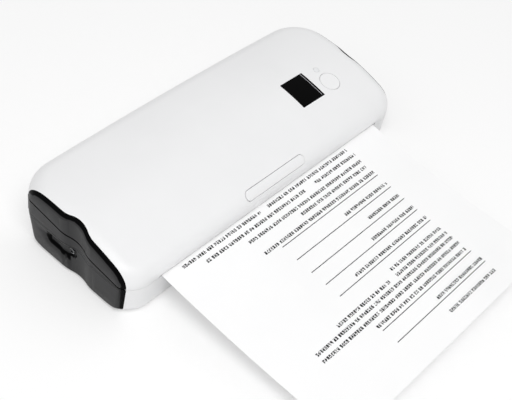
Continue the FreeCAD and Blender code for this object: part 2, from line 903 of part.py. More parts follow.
def tilted(shape):
    shape.translate(V(0, panel_y, panel_z))
    shape.rotate(V(0, panel_y, panel_z), V(1, 0, 0), panel_tilt)
    return shape


window_inset = 62.6
window_x = half_length - window_inset
window_y = 0.6
window_half_width = 11.5
window_half_depth = 11.5
window_thickness = 1.2
power_inset = 38.2
power_x = half_length - power_inset
power_y = -4.9
power_radius = 7.4
power_gap = 0.3
power_travel = 0.5
light_inset = 38.9
light_x = half_length - light_inset
light_y = 7.9
light_radius = 2.3
light_gap = 0.2
light_neck = 1.5
control_inner_inset = 79.5
control_x0 = half_length - control_inner_inset
control_outer_inset = 26.0
control_x1 = half_length - control_outer_inset
control_half = 14.0
control_low = -10.6
control_thickness = 1.2
control_top = control_low + control_thickness
control_post_inner = 77.6
control_post_x0 = half_length - control_post_inner
control_post_outer = 28.0
control_post_x1 = half_length - control_post_outer
control_post_y = 11.8
control_post_radius = 1.6
glass_top = -3.0
module_top = -5.0
module_rim = 1.2
switch_half = 3.0
switch_height = 3.2
lamp_half = 1.2
lamp_height = 0.8
flange_rim = 1.2
flange_skin = 1.0
skin_gap = 0.1

skin_window = lid_form(window_thickness, lid_low)
flange_outer = lid_form(wall + skin_gap, lid_low)
flange_inner = lid_form(wall + skin_gap + flange_skin, lid_low)


def window_prism(grow):
    return box(window_x - window_half_width - grow, window_x + window_half_width + grow,
               panel_y + window_y - window_half_depth - grow, panel_y + window_y + window_half_depth + grow,
               parting_height, body_height + overrun)


def panel_rod(radius, x, y, low, high):
    return tilted(rod_z(radius, low, high, x, y))


def lcd_window():
    return lid_outer.common(window_prism(0)).cut(skin_window)


def lcd_module():
    glass = box(window_x - window_half_width + module_rim, window_x + window_half_width - module_rim,
                window_y - window_half_depth + module_rim, window_y + window_half_depth - module_rim,
                control_top, glass_top)
    bezel = box(window_x - window_half_width - module_rim, window_x + window_half_width + module_rim,
                window_y - window_half_depth, window_y + window_half_depth, control_top, module_top)
    return tilted(glass.fuse(bezel).removeSplitter())


def control_board():
    board = box(control_x0, control_x1, -control_half, control_half, control_low, control_top)
    switch = box(power_x - switch_half, power_x + switch_half, power_y - switch_half, power_y + switch_half,
                 control_top, control_top + switch_height)
    lamp = box(light_x - lamp_half, light_x + lamp_half, light_y - lamp_half, light_y + lamp_half,
               control_top, control_top + lamp_height)
    return Part.Compound([tilted(board), tilted(switch), tilted(lamp)])


def power_button():
    cap_part = lid_outer.common(panel_rod(power_radius, power_x, power_y, -overrun, overrun)).cut(lid_inner)
    flange = flange_outer.common(panel_rod(power_radius + flange_rim, power_x, power_y, -overrun, overrun))
    flange = flange.cut(flange_inner)
    low = control_top + switch_height + power_travel + skin_gap
    stem = panel_rod(light_radius, power_x, power_y, low, -wall)
    return joined([cap_part, flange, stem])


def status_light():
    reach = light_radius - light_gap
    top = lid_outer.common(panel_rod(reach, light_x, light_y, -overrun, overrun)).cut(lid_inner)
    neck = panel_rod(light_neck, light_x, light_y, control_top + lamp_height, -wall)
    return joined([top, neck])


# The release button on the front curve

release_x = 0.5
release_half = 28.5
release_low = 29.0
release_high = 60.0
release_middle = (release_low + release_high) / 2
release_gap = 0.35
release_proud = 0.25
release_travel = 2.0
release_centre_y = -half_depth + top_round
stem_half = 8.0
stem_front = -48.1
stem_back = -46.9
stem_low = 28.6
stem_high = 33.0


def front_centre_z():
    edge_y = release_centre_y
    reach = crown_radius - top_round
    return body_height - crown_radius + math.sqrt(reach ** 2 - (edge_y - crown_peak_y) ** 2)


def release_prism(grow, depth_in, depth_out):
    half_high = top_round * math.sin(math.radians((release_high - release_low) / 2)) + grow
    slab = box(-release_half - grow, release_half + grow, -half_high, half_high,
               top_round - depth_in, top_round + depth_out)
    corners = [edge for edge in slab.Edges if edge.BoundBox.ZLength > (depth_in + depth_out) / 2]
    slab = slab.makeFillet(half_high - lid_gap / 2, corners)
    slab.rotate(V(0, 0, 0), V(1, 0, 0), 90 - release_middle)
    slab.translate(V(release_x, release_centre_y, front_centre_z()))
    return slab


proud_form = lid_form(-release_proud, lid_low)


def release_button():
    face = proud_form.common(release_prism(0, top_round, top_round)).cut(lid_inner)
    flange = flange_outer.common(release_prism(flange_rim, top_round, top_round)).cut(flange_inner)
    stem = box(-stem_half, stem_half, stem_front, stem_back, stem_low, stem_high)
    return joined([face, flange, stem.common(proud_form)])


# The lid shell with its hinge barrel, posts and openings

frame_post_radius = 3.0
frame_post_y = -34.0
frame_post_inset = 32.0
frame_post_pitch = 44.0
frame_post_x = half_length - frame_post_inset
frame_post_places = (-frame_post_x, frame_post_pitch - frame_post_x,
                     frame_post_x - frame_post_pitch, frame_post_x)
frame_posts = [(x, frame_post_y) for x in frame_post_places]
frame_top = 33.0
frame_plate = 1.5
frame_front = -43.5
frame_back = -19.0


def lid_shell():
    body = lid_outer.cut(split_left).cut(split_right).cut(lid_cavity)
    barrel = rod_x(barrel_radius, -barrel_half, barrel_half, hinge_y, hinge_z)
    outline = Part.Face(plan_wire(0, 0, 0, 0, 0)).extrude(V(0, 0, body_height))
    pieces = [body, barrel.common(outline)]
    for x, y in frame_posts:
        pieces.append(rod_z(frame_post_radius, frame_top, body_height, x, y).common(skin_window))
    for x in (control_post_x0, control_post_x1):
        for y in (-control_post_y, control_post_y):
            pieces.append(panel_rod(control_post_radius, x, y, control_top, 0).common(skin_window))
    body = joined(pieces)
    for x0 in (lug_inner, -lug_inner - lug_width):
        x1 = x0 + lug_width
        body = body.cut(rod_x(lug_radius + lug_gap, x0 - lug_gap, x1 + lug_gap, hinge_y, hinge_z))
        body = body.cut(box(x0 - lug_gap, x1 + lug_gap, hinge_y - barrel_radius - wall, half_depth + overrun,
                            hinge_z - hinge_relief, hinge_z))
    bore_start = lug_inner - pin_reach
    for tool in both_sides(rod_x(hinge_pin_radius + pin_clearance, bore_start - pin_window,
                                 lug_inner + lug_width + pin_reach, hinge_y, hinge_z)):
        body = body.cut(tool)
    half = hinge_pin_radius + pin_clearance
    for tool in both_sides(box(bore_start - pin_window, bore_start, hinge_y - barrel_radius - wall, hinge_y,
                               hinge_z - half, hinge_z + half)):
        body = body.cut(tool)
    body = body.cut(box(-slot_half, slot_half, -half_depth - overrun, release_centre_y,
                        parting_height - overrun, parting_height + slot_rise))
    body = body.cut(window_prism(0))
    body = body.cut(panel_rod(power_radius + power_gap, power_x, power_y, -overrun, overrun))
    body = body.cut(panel_rod(light_radius, light_x, light_y, -overrun, overrun))
    body = body.cut(release_prism(release_gap, top_round, top_round))
    for holes in both_sides(peg_holes(peg_high_z)):
        body = body.cut(holes)
    for x, y in frame_posts:
        body = body.cut(rod_z(screw_radius, frame_top - overrun, frame_top + screw_pilot, x, y))
    return body


def hinge_pins():
    pin = rod_x(hinge_pin_radius, lug_inner - pin_reach, lug_inner + lug_width + pin_reach, hinge_y, hinge_z)
    return Part.Compound(list(both_sides(pin)))


# The frame inside the lid, which carries the print head, the guide roller and the latch

screw_pilot = 3.0
cheek_room = 3.7
cheek_inner = paper_half + cheek_room
cheek_thickness = 1.4
cheek_outer = cheek_inner + cheek_thickness
cheek_low = 23.4
guide_journal = 1.5
guide_room = 2.5
guide_half = paper_half + guide_room
ear_y0 = -38.0
ear_y1 = -34.0
ear_z0 = 24.6
ear_z1 = 26.4
head_float = 0.8
ear_gap = 0.2
spring_tab_y = -38.0
spring_tab_inset = 18.1
spring_tab_x = half_length - spring_tab_inset
spring_tab_z0 = 26.4
spring_tab_z1 = 31.0
notch_half = 31.5
notch_back = -40.8


def lid_frame():
    plate = box(-cheek_outer, cheek_outer, frame_front, frame_back, frame_top - frame_plate, frame_top)
    pieces = [plate]
    for x0, x1 in ((-cheek_outer, -cheek_inner), (cheek_inner, cheek_outer)):
        pieces.append(box(x0, x1, frame_front, frame_back, cheek_low, frame_top))
    for tab in both_sides(box(cheek_inner, spring_tab_x, spring_tab_y, spring_tab_y + frame_plate,
                              spring_tab_z0, spring_tab_z1)):
        pieces.append(tab)
    frame = joined(pieces)
    frame = frame.cut(box(-notch_half, notch_half, frame_front, notch_back, 0, body_height))
    frame = frame.cut(rod_x(guide_journal + running, -half_length, half_length, guide_y, guide_z))
    frame = frame.cut(box(-half_length, half_length, ear_y0 - ear_gap, ear_y1 + ear_gap,
                          ear_z0 - ear_gap, ear_z1 + head_float + ear_gap))
    for x, y in frame_posts:
        frame = frame.cut(rod_z(screw_radius, 0, body_height, x, y))
    return frame


def frame_screws():
    low = frame_top - frame_plate
    screws = []
    for x, y in frame_posts:
        screws.append(rod_z(screw_head_radius, low - screw_head, low, x, y).fuse(
            rod_z(screw_radius, low, low + frame_plate + screw_pilot, x, y)).removeSplitter())
    return Part.Compound(screws)


def guide_roller():
    body = rod_x(guide_radius, -guide_half, guide_half, guide_y, guide_z)
    return body.fuse(rod_x(guide_journal, -cheek_outer, cheek_outer, guide_y, guide_z)).removeSplitter()


# The thermal print head: a ceramic strip under a finned heat sink on four springs

head_room = 3.0
head_half = paper_half + head_room
strip_low = web_z + web_half + sheet_gap
strip_high = 24.2
strip_front = -41.0
strip_back = -31.0
sink_high = 27.0
sink_front = -42.6
sink_back = -29.5
fin_gap = 1.6
fin_depth = 1.2
head_spring_inset = 48.0
head_spring_pitch = 54.0
head_spring_end = half_length - head_spring_inset
head_spring_x = (-head_spring_end, head_spring_pitch - head_spring_end,
                 head_spring_end - head_spring_pitch, head_spring_end)
head_spring_y = -33.0
head_spring_radius = 2.2
head_spring_wire = 0.35
head_spring_turns = 4
ear_room = 5.0
ear_reach = paper_half + ear_room


def print_head():
    return box(-head_half, head_half, strip_front, strip_back, strip_low, strip_high)


def head_heatsink():
    sink = box(-head_half, head_half, sink_front, sink_back, strip_high, sink_high)
    ears = box(-ear_reach, ear_reach, ear_y0, ear_y1, ear_z0, ear_z1)
    sink = joined([sink, ears])
    for share in range(3):
        y0 = sink_front + fin_gap * (2 * share + 1)
        sink = sink.cut(box(-head_half + wall, head_half - wall, y0, y0 + fin_gap, sink_high - fin_depth,
                            sink_high + overrun))
    return sink


def head_springs():
    springs = [coil(head_spring_radius, head_spring_wire, head_spring_turns, x, head_spring_y,
                    sink_high, frame_top - frame_plate) for x in head_spring_x]
    return Part.Compound(springs)


# The latch bar with its two hooks, pushed back by a coil spring at each end

bar_front = -46.8
bar_back = -45.2
bar_low = 25.0
bar_high = 29.6
bar_inset = 13.0
bar_half = half_length - bar_inset
hook_inset = 15.8
hook_inner = half_length - hook_inset
hook_low = 18.6
barb_top = 20.0
barb_front = -47.1
latch_spring_radius = 1.4
latch_spring_wire = 0.4
latch_spring_turns = 5
latch_spring_inset = 19.7
latch_spring_x = half_length - latch_spring_inset
latch_spring_z = 28.0


def latch_bar():
    pieces = [box(-bar_half, bar_half, bar_front, bar_back, bar_low, bar_high)]
    for hook in both_sides(box(hook_inner, bar_half, bar_front, bar_back, hook_low, bar_high)):
        pieces.append(hook)
    for barb in both_sides(box(hook_inner, bar_half, barb_front, bar_back, hook_low, barb_top)):
        pieces.append(barb)
    return joined(pieces)


def latch_springs():
    spring = coil(latch_spring_radius, latch_spring_wire, latch_spring_turns, 0, 0, 0, spring_tab_y - bar_back)
    spring.rotate(V(0, 0, 0), V(1, 0, 0), -90)
    spring.translate(V(latch_spring_x, bar_back, latch_spring_z))
    return Part.Compound(list(both_sides(spring)))


# Each piece is written to a file of its own

os.makedirs("parts", exist_ok=True)
left_base_cap, right_base_cap = base_caps()
left_lid_cap, right_lid_cap = lid_caps()
write(base_shell(), "base_shell")
write(left_base_cap, "left_base_cap")
write(right_base_cap, "right_base_cap")
write(rubber_feet(), "rubber_feet")
write(base_screws(), "base_screws")
write(paper_tray(), "paper_tray")
write(paper_roll(), "paper_roll")
write(roll_core(), "roll_core")
write(roll_holders(), "roll_holders")
write(paper_sheet(), "paper_sheet")
write(platen_shaft(), "platen_shaft")
write(platen_rubber(), "platen_rubber")
write(platen_bushes(), "platen_bushes")
write(platen_gear(), "platen_gear")
write(gear_plate(), "gear_plate")
write(left_bracket(), "left_bracket")
write(idler_stud(), "idler_stud")
write(idler_gear(), "idler_gear")
write(motor(), "motor")
write(motor_pinion(), "motor_pinion")
write(tear_strip(), "tear_strip")
write(main_board(), "main_board")
write(board_chips(), "board_chips")
write(board_screws(), "board_screws")
write(battery_pack(), "battery_pack")
write(usb_board(), "usb_board")
write(usb_socket(), "usb_socket")
write(lid_shell(), "lid_shell")
write(left_lid_cap, "left_lid_cap")
write(right_lid_cap, "right_lid_cap")
write(hinge_pins(), "hinge_pins")
write(lcd_window(), "lcd_window")
write(lcd_module(), "lcd_module")
write(control_board(), "control_board")
write(power_button(), "power_button")
write(status_light(), "status_light")
write(release_button(), "release_button")
write(lid_frame(), "lid_frame")
write(frame_screws(), "frame_screws")
write(guide_roller(), "guide_roller")
write(print_head(), "print_head")
write(head_heatsink(), "head_heatsink")
write(head_springs(), "head_springs")
write(latch_bar(), "latch_bar")
write(latch_springs(), "latch_springs")
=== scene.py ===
import bpy
import math
import random
from mathutils import Matrix, Vector


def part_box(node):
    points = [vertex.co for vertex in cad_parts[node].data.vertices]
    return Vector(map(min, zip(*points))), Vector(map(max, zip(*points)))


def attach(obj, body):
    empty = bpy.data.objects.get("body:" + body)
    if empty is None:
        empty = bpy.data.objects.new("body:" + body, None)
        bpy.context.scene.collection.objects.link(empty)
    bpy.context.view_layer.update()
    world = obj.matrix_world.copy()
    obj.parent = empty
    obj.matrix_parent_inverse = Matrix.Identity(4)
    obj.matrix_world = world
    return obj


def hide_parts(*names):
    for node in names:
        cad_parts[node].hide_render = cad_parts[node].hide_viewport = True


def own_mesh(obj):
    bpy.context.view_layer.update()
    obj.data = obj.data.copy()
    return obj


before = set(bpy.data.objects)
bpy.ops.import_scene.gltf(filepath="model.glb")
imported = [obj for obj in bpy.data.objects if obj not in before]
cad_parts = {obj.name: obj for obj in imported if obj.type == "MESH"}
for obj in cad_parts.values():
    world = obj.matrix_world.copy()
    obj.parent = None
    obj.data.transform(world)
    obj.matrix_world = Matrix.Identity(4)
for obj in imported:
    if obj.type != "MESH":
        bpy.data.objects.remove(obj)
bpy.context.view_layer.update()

# The two white shells are injection moulded in a satin ABS. Their tool was spark eroded, which
# leaves a very fine grain, and their rims are a touch brighter where they have been handled.

shell_white = (0.86, 0.862, 0.868)
shell_roughness = 0.38
shell_grain = 0.0004
shell_grain_depth = 0.000006
shell_wear = (0.9, 0.9, 0.9)
grain_detail = 2.0
cloud_size = 0.05
cloud_detail = 3.0
cloud_low = 0.3
cloud_high = 0.7
wear_and_highlight_radius = 0.0004
edge_mask_samples = 4
edge_mask_flat = 0.99
edge_mask_turned = 0.8
wear_share = 0.5


def grain_group():
    """A bump height for the fine grain and a slow cloud that shifts tone and gloss."""
    tree = bpy.data.node_groups.new("fine_grain", "ShaderNodeTree")
    for name in ("Size", "Cloud Size"):
        tree.interface.new_socket(name, in_out="INPUT", socket_type="NodeSocketFloat")
    tree.interface.new_socket("Stretch", in_out="INPUT", socket_type="NodeSocketVector")
    for name in ("Height", "Cloud"):
        tree.interface.new_socket(name, in_out="OUTPUT", socket_type="NodeSocketFloat")
    inside = tree.nodes.new("NodeGroupInput")
    outside = tree.nodes.new("NodeGroupOutput")
    place = tree.nodes.new("ShaderNodeTexCoord")
    drawn = tree.nodes.new("ShaderNodeVectorMath")
    drawn.operation = "MULTIPLY"
    tree.links.new(place.outputs["Object"], drawn.inputs[0])
    tree.links.new(inside.outputs["Stretch"], drawn.inputs[1])
    for source, target, detail in (("Size", "Height", grain_detail),
                                   ("Cloud Size", "Cloud", cloud_detail)):
        scale = tree.nodes.new("ShaderNodeMath")
        scale.operation = "DIVIDE"
        scale.inputs[0].default_value = 1.0
        noise = tree.nodes.new("ShaderNodeTexNoise")
        noise.inputs["Detail"].default_value = detail
        tree.links.new(inside.outputs[source], scale.inputs[1])
        tree.links.new(scale.outputs[0], noise.inputs["Scale"])
        tree.links.new(drawn.outputs["Vector"], noise.inputs["Vector"])
        tree.links.new(noise.outputs["Fac"], outside.inputs[target])
    return tree


def wear_and_highlight_group():
    """A mask that is 1 on edges and 0 on flat stretches, found from a rounded normal. It marks real edge
    wear, and on the caps it places a painted highlight.
    """
    tree = bpy.data.node_groups.new("edge_wear_and_highlight", "ShaderNodeTree")
    tree.interface.new_socket("Radius", in_out="INPUT", socket_type="NodeSocketFloat")
    tree.interface.new_socket("Edge", in_out="OUTPUT", socket_type="NodeSocketFloat")
    inside = tree.nodes.new("NodeGroupInput")
    outside = tree.nodes.new("NodeGroupOutput")
    rounded = tree.nodes.new("ShaderNodeBevel")
    rounded.samples = edge_mask_samples
    flat = tree.nodes.new("ShaderNodeNewGeometry")
    match = tree.nodes.new("ShaderNodeVectorMath")
    match.operation = "DOT_PRODUCT"
    spread = tree.nodes.new("ShaderNodeMapRange")
    spread.inputs["From Min"].default_value = edge_mask_flat
    spread.inputs["From Max"].default_value = edge_mask_turned
    tree.links.new(inside.outputs["Radius"], rounded.inputs["Radius"])
    tree.links.new(rounded.outputs["Normal"], match.inputs[0])
    tree.links.new(flat.outputs["Normal"], match.inputs[1])
    tree.links.new(match.outputs["Value"], spread.inputs["Value"])
    tree.links.new(spread.outputs["Result"], outside.inputs["Edge"])
    return tree


fine_grain = grain_group()
edge_wear_and_highlight = wear_and_highlight_group()


def maths(tree, operation, *values):
    """One sum on sockets or numbers; it gives back the socket with the result."""
    node = tree.nodes.new("ShaderNodeMath")
    node.operation = operation
    for place, value in enumerate(values):
        if isinstance(value, bpy.types.NodeSocket):
            tree.links.new(value, node.inputs[place])
        else:
            node.inputs[place].default_value = value
    return node.outputs[0]


def ramp(tree, value, low, high, start=0.0, end=1.0):
    """Turns the stretch of a value from low to high into start to end, held at both."""
    node = tree.nodes.new("ShaderNodeMapRange")
    node.inputs["From Min"].default_value = low
    node.inputs["From Max"].default_value = high
    node.inputs["To Min"].default_value = start
    node.inputs["To Max"].default_value = end
    tree.links.new(value, node.inputs["Value"])
    return node.outputs["Result"]


def over(tree, mask, under, colour):
    """Lays a colour over another where the mask is 1."""
    node = tree.nodes.new("ShaderNodeMix")
    node.data_type = "RGBA"
    tree.links.new(mask, node.inputs["Factor"])
    tree.links.new(under, node.inputs["A"])
    node.inputs["B"].default_value = (*colour, 1.0)
    return node.outputs["Result"]


def place_of(tree):
    """The x, y and z sockets of a point on the object, in metres."""
    point = tree.nodes.new("ShaderNodeTexCoord")
    split = tree.nodes.new("ShaderNodeSeparateXYZ")
    tree.links.new(point.outputs["Object"], split.inputs["Vector"])
    return split.outputs["X"], split.outputs["Y"], split.outputs["Z"]


def facing_of(tree):
    """The x, y and z sockets of the surface's own direction."""
    point = tree.nodes.new("ShaderNodeTexCoord")
    split = tree.nodes.new("ShaderNodeSeparateXYZ")
    tree.links.new(point.outputs["Normal"], split.inputs["Vector"])
    return split.outputs["X"], split.outputs["Y"], split.outputs["Z"]


def finish(name, colour, roughness, grain, depth, spread=0.04, metallic=0.0, shine=0.5,
           wear=None, stretch=(1.0, 1.0, 1.0), pattern=None):
    """A real surface: grain, a wandering tone and gloss, worn edges, and a pattern if it has one."""
    made = bpy.data.materials.new(name)
    made.use_nodes = True
    tree = made.node_tree
    skin = tree.nodes["Principled BSDF"]
    skin.inputs["Metallic"].default_value = metallic
    skin.inputs["Specular IOR Level"].default_value = shine
    effect = tree.nodes.new("ShaderNodeGroup")
    effect.node_tree = fine_grain
    effect.inputs["Size"].default_value = grain
    effect.inputs["Cloud Size"].default_value = cloud_size
    effect.inputs["Stretch"].default_value = stretch
    cloud = effect.outputs["Cloud"]
    tinted = tree.nodes.new("ShaderNodeVectorMath")
    tinted.operation = "SCALE"
    tinted.inputs[0].default_value = colour
    tone = ramp(tree, cloud, cloud_low, cloud_high, 1.0 - spread, 1.0 + spread / 4)
    tree.links.new(tone, tinted.inputs["Scale"])
    shade = tinted.outputs["Vector"]
    gloss = ramp(tree, cloud, cloud_low, cloud_high,
                 roughness * (1.0 - spread), roughness * (1.0 + spread))
    if pattern:
        shade, gloss, *sheen = pattern(tree, shade, gloss)
        for value in sheen:
            tree.links.new(value, skin.inputs["Specular IOR Level"])
    if wear:
        edges = tree.nodes.new("ShaderNodeGroup")
        edges.node_tree = edge_wear_and_highlight
        edges.inputs["Radius"].default_value = wear_and_highlight_radius
        rubbed = maths(tree, "MULTIPLY", edges.outputs["Edge"], wear_share)
        shade = over(tree, rubbed, shade, wear)
    bump = tree.nodes.new("ShaderNodeBump")
    bump.inputs["Distance"].default_value = depth
    tree.links.new(shade, skin.inputs["Base Color"])
    tree.links.new(gloss, skin.inputs["Roughness"])
    tree.links.new(effect.outputs["Height"], bump.inputs["Height"])
    tree.links.new(bump.outputs["Normal"], skin.inputs["Normal"])
    return made


def dress(material, *nodes):
    for node in nodes:
        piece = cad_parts[node]
        piece.data.materials.clear()
        piece.data.materials.append(material)


white_plastic = finish("white_plastic", shell_white, shell_roughness, shell_grain, shell_grain_depth,
                       spread=0.02, wear=shell_wear)
dress(white_plastic, "base_shell", "lid_shell")

# The black end caps are moulded apart and pressed into the shells on pegs. The rim that shows
# round each end is polished, and the end face itself is left a softer, greyer satin. The thin
# paler grey along the end face's edges is a painted highlight.

cap_rim_black = (0.0022, 0.0022, 0.0024)
cap_face_grey = (0.025, 0.025, 0.026)
cap_edge_highlight_grey = (0.09, 0.09, 0.093)
cap_rim_roughness = 0.22
cap_face_roughness = 0.42
cap_rim_shine = 0.03
cap_face_shine = 0.25
cap_grain = 0.0003
cap_grain_depth = 0.000005
face_turn_low = 0.79
face_turn_high = 0.84
seam_front_y = -0.052
seam_front_z = 0.0229
seam_slope = 0.14
seam_black_low = 0.0005
seam_black_high = 0.0007


def cap_pattern(tree, shade, gloss):
    facing = maths(tree, "ABSOLUTE", facing_of(tree)[0])
    turned = ramp(tree, facing, face_turn_low, face_turn_high)
    across, along, up = place_of(tree)
    climb = maths(tree, "MULTIPLY_ADD", along, seam_slope, seam_front_z - seam_slope * seam_front_y)
    off_seam = maths(tree, "ABSOLUTE", maths(tree, "SUBTRACT", up, climb))
    face = maths(tree, "MULTIPLY", turned, ramp(tree, off_seam, seam_black_low, seam_black_high))
    edges = tree.nodes.new("ShaderNodeGroup")
    edges.node_tree = edge_wear_and_highlight
    edges.inputs["Radius"].default_value = wear_and_highlight_radius
    # Painted highlight: the end face's edges are painted a paler grey through the edge mask.
    lit = maths(tree, "MULTIPLY", edges.outputs["Edge"], face)
    shade = over(tree, face, shade, cap_face_grey)
    shade = over(tree, lit, shade, cap_edge_highlight_grey)
    polished = ramp(tree, face, 0.0, 1.0, cap_rim_roughness, cap_face_roughness)
    return shade, polished, ramp(tree, face, 0.0, 1.0, cap_rim_shine, cap_face_shine)


black_plastic = finish("black_plastic", cap_rim_black, cap_rim_roughness, cap_grain, cap_grain_depth,
                       pattern=cap_pattern)
dress(black_plastic, "left_base_cap", "right_base_cap", "left_lid_cap", "right_lid_cap")

# The caps part along a seam of their own, which climbs towards the back: the lower half stands
# up there as a fixed cheek, and the upper half lifts off it with the lid. The peg that held the
# cheek's part of the lid's cap is taken off, because the cheek stays behind.

seam_gap = 0.0008
joint_low = 0.02275
joint_high = 0.02305
cutter_size = 0.4
near_joint = 0.00003
cheek_relief = 0.0003
inward_turn = 0.8
cheek_peg_y = 0.027
cheek_peg_z = 0.03
cheek_peg_size = 0.0036
cap_inner_x = 0.1289
smooth_turn = math.radians(30)


def copied(node, name):
    """A new piece that starts from the form of a CAD node."""
    bpy.ops.object.select_all(action="DESELECT")
    made = bpy.data.objects.new(name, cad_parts[node].data.copy())
    bpy.context.scene.collection.objects.link(made)
    made.select_set(True)
    bpy.context.view_layer.objects.active = made
    return made


def carve(piece, operation, size, place, lean=0.0):
    """One Boolean with a cube that is removed afterwards."""
    bpy.ops.object.select_all(action="DESELECT")
    bpy.ops.mesh.primitive_cube_add(size=1.0, location=place, rotation=(lean, 0, 0), scale=size)
    cutter = bpy.context.object
    step = piece.modifiers.new("carve", "BOOLEAN")
    step.operation = operation
    step.solver = "EXACT"
    step.object = cutter
    bpy.context.view_layer.objects.active = piece
    bpy.ops.object.modifier_apply(modifier="carve")
    bpy.data.objects.remove(cutter)


def shift_faces(piece, chosen, move):
    """Moves the faces that the test picks, or deletes them where there is no move."""
    for part in (piece.data.vertices, piece.data.edges):
        for item in part:
            item.select = False
    for face in piece.data.polygons:
        face.select = chosen(face)
    bpy.ops.object.mode_set(mode="EDIT")
    bpy.ops.mesh.select_mode(type="FACE")
    if move:
        bpy.ops.transform.translate(value=move)
    else:
        bpy.ops.mesh.delete(type="FACE")
        bpy.ops.mesh.select_all(action="SELECT")
        bpy.ops.mesh.remove_doubles(threshold=near_joint)
    bpy.ops.object.mode_set(mode="OBJECT")


def keep_half(piece, side, up):
    """Keeps what lies above the leaning seam, or below it."""
    lean = math.atan(seam_slope)
    reach = up * (cutter_size + seam_gap) / 2
    middle = seam_front_z - seam_slope * seam_front_y
    place = (side * cap_inner_x, -reach * math.sin(lean), middle + reach * math.cos(lean))
    carve(piece, "INTERSECT", (cutter_size, cutter_size, cutter_size), place, lean)


def picked(*pieces):
    """Selects these pieces alone and makes the last one active."""
    bpy.ops.object.select_all(action="DESELECT")
    for piece in pieces:
        piece.select_set(True)
    bpy.context.view_layer.objects.active = pieces[-1]


def faces_up_at(height, least):
    """A test for the flat faces at one height whose normal points up at least so far."""
    return lambda face: abs(face.center.z - height) < near_joint and least(face.normal.z) > inward_turn


def cap_halves(name, side):
    """The two visible halves of one end cap, cut anew from the CAD's halves."""
    high = copied(name + "_lid_cap", name + "_cap_high")
    keep_half(high, side, 1)
    cheek = copied(name + "_lid_cap", name + "_cap_cheek")
    keep_half(cheek, side, -1)
    carve(cheek, "DIFFERENCE", (cheek_peg_size, 2 * cheek_peg_size, 2 * cheek_peg_size),
          (side * (cap_inner_x - cheek_peg_size / 2), cheek_peg_y, cheek_peg_z))
    picked(cheek)
    shift_faces(cheek, lambda face: face.normal.x * side < -inward_turn, (side * cheek_relief, 0, 0))
    low = copied(name + "_base_cap", name + "_cap_low")
    shift_faces(low, faces_up_at(joint_low, float), (0, 0, joint_high - joint_low))
    picked(cheek, low)
    bpy.ops.object.join()
    shift_faces(low, faces_up_at(joint_high, abs), None)
    for piece, body, node in ((high, "lid", "_lid_cap"), (low, "base", "_base_cap")):
        picked(piece)
        bpy.ops.object.shade_smooth_by_angle(angle=smooth_turn)
        piece.data.materials.clear()
        piece.data.materials.append(black_plastic)
        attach(piece, body)
        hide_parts(name + node)


cap_halves("left", -1)
cap_halves("right", 1)

# The two buttons are moulded in the shells' plastic with a slightly finer finish, and the
# status light is a clear milky pin that brings the lamp's light up to the surface.

button_white = (0.865, 0.867, 0.873)
button_roughness = 0.34
milky = (0.8, 0.81, 0.82)
milky_roughness = 0.2

button_plastic = finish("button_plastic", button_white, button_roughness, shell_grain, shell_grain_depth,
                        spread=0.02, wear=shell_wear)
dress(button_plastic, "power_button", "release_button")
light_plastic = finish("light_plastic", milky, milky_roughness, shell_grain, 0.0, spread=0.03)
dress(light_plastic, "status_light")

# The display lies behind a black glossy window, set flush in the lid. The glass of the module
# under it ends a little short of the window on the right, and a pale line is painted there as a
# highlight on that glass edge.

window_black = (0.0008, 0.0008, 0.0009)
window_roughness = 0.08
window_shine = 0.02
module_edge_highlight = (0.5, 0.5, 0.52)
line_inset = 0.0019
line_half = 0.00022
line_soft = 0.00006
line_end = 0.0012
module_black = (0.03, 0.03, 0.032)
module_roughness = 0.35


def window_pattern(tree, shade, gloss):
    low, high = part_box("lcd_window")
    across, along, up = place_of(tree)
    # Painted highlight: a thin pale line painted on the window where the module glass's edge lies.
    away = maths(tree, "ABSOLUTE", maths(tree, "SUBTRACT", across, high.x - line_inset))
    line = ramp(tree, away, line_half, line_half - line_soft)
    near = ramp(tree, along, low.y + line_end, low.y + line_end + line_soft)
    far = ramp(tree, along, high.y - line_soft, high.y - 2 * line_soft)
    line = maths(tree, "MULTIPLY", line, maths(tree, "MULTIPLY", near, far))
    return over(tree, line, shade, module_edge_highlight), gloss


window_glass = finish("window_glass", window_black, window_roughness, shell_grain, 0.0,
                      shine=window_shine, pattern=window_pattern)
dress(window_glass, "lcd_window")
module_body = finish("module_body", module_black, module_roughness, shell_grain, 0.0)
dress(module_body, "lcd_module")

# The tray, the roll's holders, the frame in the lid and the latch bar are moulded in a darker,
# coarser nylon with glass fibre, which nobody sees while the lid is closed.

nylon_grey = (0.035, 0.036, 0.038)
nylon_roughness = 0.5
nylon_grain = 0.0006
nylon_grain_depth = 0.00002
nylon_wear = (0.09, 0.09, 0.095)

nylon = finish("filled_nylon", nylon_grey, nylon_roughness, nylon_grain, nylon_grain_depth,
               spread=0.12, wear=nylon_wear)
dress(nylon, "paper_tray", "roll_holders", "lid_frame", "latch_bar")

# The rubber of the five feet and of the platen is ground, not moulded, so it is matt and has
# a fine tooth all over that holds the paper and the table.

rubber_black = (0.025, 0.025, 0.026)
rubber_roughness = 0.75
rubber_grain = 0.0003
rubber_grain_depth = 0.00003
rubber_wear = (0.08, 0.08, 0.08)

rubber = finish("ground_rubber", rubber_black, rubber_roughness, rubber_grain, rubber_grain_depth,
                spread=0.15, wear=rubber_wear)
dress(rubber, "rubber_feet", "platen_rubber")

# The bright steel parts are turned or pressed from bar and sheet: shafts, pins, screws, plates,
# springs, the tear strip and the socket's shell. Their tool marks run along the machine.

steel_grey = (0.56, 0.57, 0.585)
steel_roughness = 0.3
steel_grain = 0.00025
steel_grain_depth = 0.000004
along_machine = (0.06, 1.0, 1.0)
steel_wear = (0.75, 0.75, 0.76)

